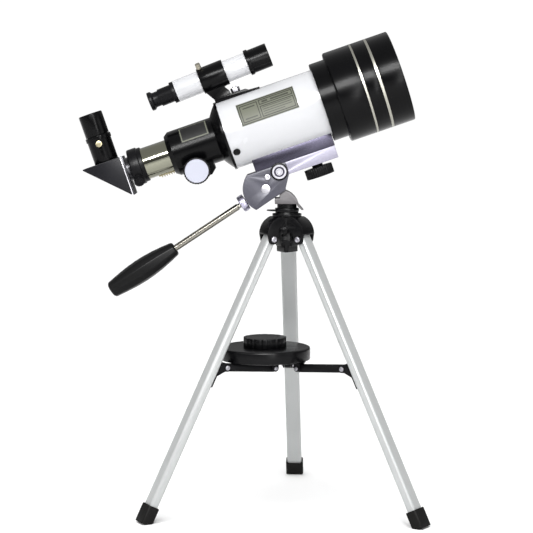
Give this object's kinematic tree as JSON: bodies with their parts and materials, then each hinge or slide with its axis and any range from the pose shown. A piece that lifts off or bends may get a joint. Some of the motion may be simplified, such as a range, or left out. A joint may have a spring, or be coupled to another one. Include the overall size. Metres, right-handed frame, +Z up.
{
  "type": "refractor telescope",
  "caption": "Short refracting telescope with a star diagonal, rack focuser and finder on a pan and tilt head, standing on a folding tabletop tripod with a round tray.",
  "frame": {"origin": "on the floor, under the pan axis, midway between the three feet", "axes": "+X the way the tube points, +Y away from the focus knob seen from the front, +Z up"},
  "size_m": [0.3535, 0.2657, 0.4893],
  "materials": {
    "black_gloss": "black moulded plastic with a soft gloss",
    "black_satin": "satin black plastic",
    "knob_rim": "satin black knob with a grey face",
    "leg_metal": "satin anodised tube",
    "bright_steel": "bright nickel plating",
    "drawtube_chrome": "polished chrome tube",
    "cast_grey": "dark grey die casting with a satin surface",
    "platform_chrome": "bright plated channel",
    "saddle_metal": "dark plated cradle",
    "tube_white": "smooth glossy white paint",
    "tube_black": "smooth black moulding",
    "inner_black": "matt black inside",
    "silver_band": "silver band",
    "label_silver": "thin printed label plate",
    "rack_brass": "machined brass",
    "nickel_screw": "small knurled nickel screw",
    "housing_dark": "satin dark grey paint",
    "glass": "coated optical glass",
    "foot_rubber": "black rubber",
    "grip_black": "black moulded grip"
  },
  "bodies": {
    "stand": {"crown": "black_gloss", "hinge_screws": "bright_steel", "pan_spindle": "bright_steel"},
    "pan_lever": {"pan_lever": "bright_steel"},
    "pan_head": {"pan_neck": "cast_grey"},
    "tube": {"tilt_platform": "platform_chrome", "tilt_washer": "black_satin", "tilt_bolt": "bright_steel", "stop_screw": "bright_steel", "lock_pin": "bright_steel", "tube_saddle": "saddle_metal", "main_tube": "tube_white", "label_plates": "label_silver", "objective_cell": "tube_black", "objective_lenses": "glass", "lens_ring": "inner_black", "dew_shield": "tube_black", "shield_bands": "silver_band", "focuser_body": "black_gloss", "flange_screws": "black_satin", "finder_bracket": "black_satin", "finder_tube": "tube_white", "finder_hood": "tube_black", "finder_objective": "glass"},
    "handle": {"handle_rod": "bright_steel", "handle_ferrule": "bright_steel", "handle_grip": "grip_black"},
    "mount_knob": {"mount_knob": "black_satin"},
    "focus_shaft": {"pinion_shaft": "bright_steel", "focus_knobs": "knob_rim"},
    "drawtube": {"drawtube": "drawtube_chrome", "focus_rack": "rack_brass", "adapter_ring": "black_satin"},
    "adapter_screw": {"adapter_screw": "black_satin"},
    "diagonal": {"diagonal_housing": "housing_dark", "diagonal_prism": "glass", "diagonal_barrel": "bright_steel", "diagonal_socket": "black_satin"},
    "socket_screw": {"socket_screw": "rack_brass"},
    "eyepiece": {"eyepiece": "black_satin", "eyepiece_lenses": "glass"},
    "finder_eyepiece": {"finder_eyepiece": "black_satin", "finder_eye_lens": "glass"},
    "finder_screw": {"finder_screw": "nickel_screw"},
    "finder_nut": {"finder_nut": "silver_band"},
    "hub": {"hub": "black_satin"},
    "tray": {"tray": "black_gloss"},
    "tray_knob": {"tray_knob": "black_satin"},
    "leg_back": {"leg_back": "leg_metal", "foot_cap_back": "foot_rubber", "brace_bracket_back": "bright_steel"},
    "brace_back": {"brace_back": "black_satin"},
    "leg_left": {"leg_left": "leg_metal", "foot_cap_left": "foot_rubber", "brace_bracket_left": "bright_steel"},
    "brace_left": {"brace_left": "black_satin"},
    "leg_right": {"leg_right": "leg_metal", "foot_cap_right": "foot_rubber", "brace_bracket_right": "bright_steel"},
    "brace_right": {"brace_right": "black_satin"}
  },
  "joints": [
    {"name": "pan", "type": "hinge", "parent": "stand", "child": "pan_head", "pos_m": [0, 0, 0.318], "axis": [0, 0, 1], "continuous": true},
    {"name": "pan_lock", "type": "hinge", "parent": "stand", "child": "pan_lever", "pos_m": [0, 0, 0.309], "axis": [0, 0, 1], "range_deg": [-35, 35]},
    {"name": "tilt", "type": "hinge", "parent": "pan_head", "child": "tube", "pos_m": [-0.008, 0, 0.3485], "axis": [0, -1, 0], "range_deg": [-39, 21]},
    {"name": "handle_twist", "type": "hinge", "parent": "tube", "child": "handle", "pos_m": [-0.02161, 0, 0.33091], "axis": [-0.8339, 0, -0.5519], "range_deg": [0, 180]},
    {"name": "mount_knob_turn", "type": "hinge", "parent": "tube", "child": "mount_knob", "pos_m": [0.03142, 0, 0.35287], "axis": [-0.3256, 0, 0.9455], "continuous": true},
    {"name": "focus_turn", "type": "hinge", "parent": "tube", "child": "focus_shaft", "pos_m": [-0.09071, 0, 0.35006], "axis": [0, -1, 0], "range_deg": [-192, 359]},
    {"name": "focus_travel", "type": "slide", "parent": "tube", "child": "drawtube", "axis": [-0.9455, 0, -0.3256], "range_m": [-0.016, 0.03]},
    {"name": "adapter_screw_turn", "type": "hinge", "parent": "drawtube", "child": "adapter_screw", "pos_m": [-0.15393, 0, 0.35272], "axis": [0.2004, -0.788, -0.5821], "range_deg": [0, 180]},
    {"name": "diagonal_turn", "type": "hinge", "parent": "drawtube", "child": "diagonal", "pos_m": [-0.15714, 0, 0.35162], "axis": [0.9455, 0, 0.3256], "range_deg": [-150, 150]},
    {"name": "socket_screw_turn", "type": "hinge", "parent": "diagonal", "child": "socket_screw", "pos_m": [-0.19005, 0, 0.37656], "axis": [0, -1, 0], "range_deg": [0, 180]},
    {"name": "eyepiece_lift", "type": "slide", "parent": "diagonal", "child": "eyepiece", "axis": [-0.3256, 0, 0.9455], "range_m": [0, 0.05]},
    {"name": "finder_focus", "type": "slide", "parent": "tube", "child": "finder_eyepiece", "axis": [-0.9298, 0, -0.3681], "range_m": [0, 0.008]},
    {"name": "finder_screw_turn", "type": "hinge", "parent": "tube", "child": "finder_screw", "pos_m": [-0.08781, -0.00423, 0.44881], "axis": [-0.3336, -0.4226, 0.8427], "range_deg": [0, 180]},
    {"name": "finder_nut_turn", "type": "hinge", "parent": "tube", "child": "finder_nut", "pos_m": [-0.05226, 0, 0.43003], "axis": [-0.3256, 0, 0.9455], "range_deg": [0, 180]},
    {"name": "fold_back", "type": "hinge", "parent": "stand", "child": "leg_back", "pos_m": [0.00142, 0.02035, 0.28], "axis": [-0.9976, 0.0698, 0], "range_deg": [0, 20]},
    {"name": "brace_turn_back", "type": "hinge", "parent": "leg_back", "child": "brace_back", "pos_m": [0.00485, 0.06932, 0.15106], "axis": [0.9976, -0.0698, 0], "range_deg": [0, 97.82]},
    {"name": "fold_left", "type": "hinge", "parent": "stand", "child": "leg_left", "pos_m": [-0.01834, -0.00894, 0.28], "axis": [0.4384, -0.8988, 0], "range_deg": [0, 20]},
    {"name": "brace_turn_left", "type": "hinge", "parent": "leg_left", "child": "brace_left", "pos_m": [-0.06246, -0.03046, 0.15106], "axis": [-0.4384, 0.8988, 0], "range_deg": [0, 97.82]},
    {"name": "fold_right", "type": "hinge", "parent": "stand", "child": "leg_right", "pos_m": [0.01691, -0.01141, 0.28], "axis": [0.5592, 0.829, 0], "range_deg": [0, 20]},
    {"name": "brace_turn_right", "type": "hinge", "parent": "leg_right", "child": "brace_right", "pos_m": [0.05761, -0.03886, 0.15106], "axis": [-0.5592, -0.829, 0], "range_deg": [0, 97.82]},
    {"name": "hub_drop", "type": "slide", "parent": "stand", "child": "hub", "axis": [0, 0, -1], "range_m": [0, 0.05901]},
    {"name": "tray_removal", "type": "slide", "parent": "stand", "child": "tray", "axis": [0.4384, -0.8988, 0], "range_m": [0, 0.6001]},
    {"name": "tray_knob_turn", "type": "hinge", "parent": "tray", "child": "tray_knob", "pos_m": [-0.0225, 0, 0.165], "axis": [0, 0, 1], "range_deg": [0, 360]}
  ],
  "couplings": [
    {"joint": "focus_turn", "follows": "focus_travel", "rad_per_m": 208.33},
    {"joint": "fold_left", "follows": "fold_back", "ratio": 1},
    {"joint": "fold_right", "follows": "fold_back", "ratio": 1},
    {"joint": "hub_drop", "follows": "fold_back", "m_per_rad": 0.16876},
    {"joint": "tray_removal", "follows": "fold_back", "m_per_rad": 1.7189},
    {"joint": "brace_turn_back", "follows": "fold_back", "ratio": 4.886},
    {"joint": "brace_turn_left", "follows": "fold_back", "ratio": 4.886},
    {"joint": "brace_turn_right", "follows": "fold_back", "ratio": 4.886}
  ]
}
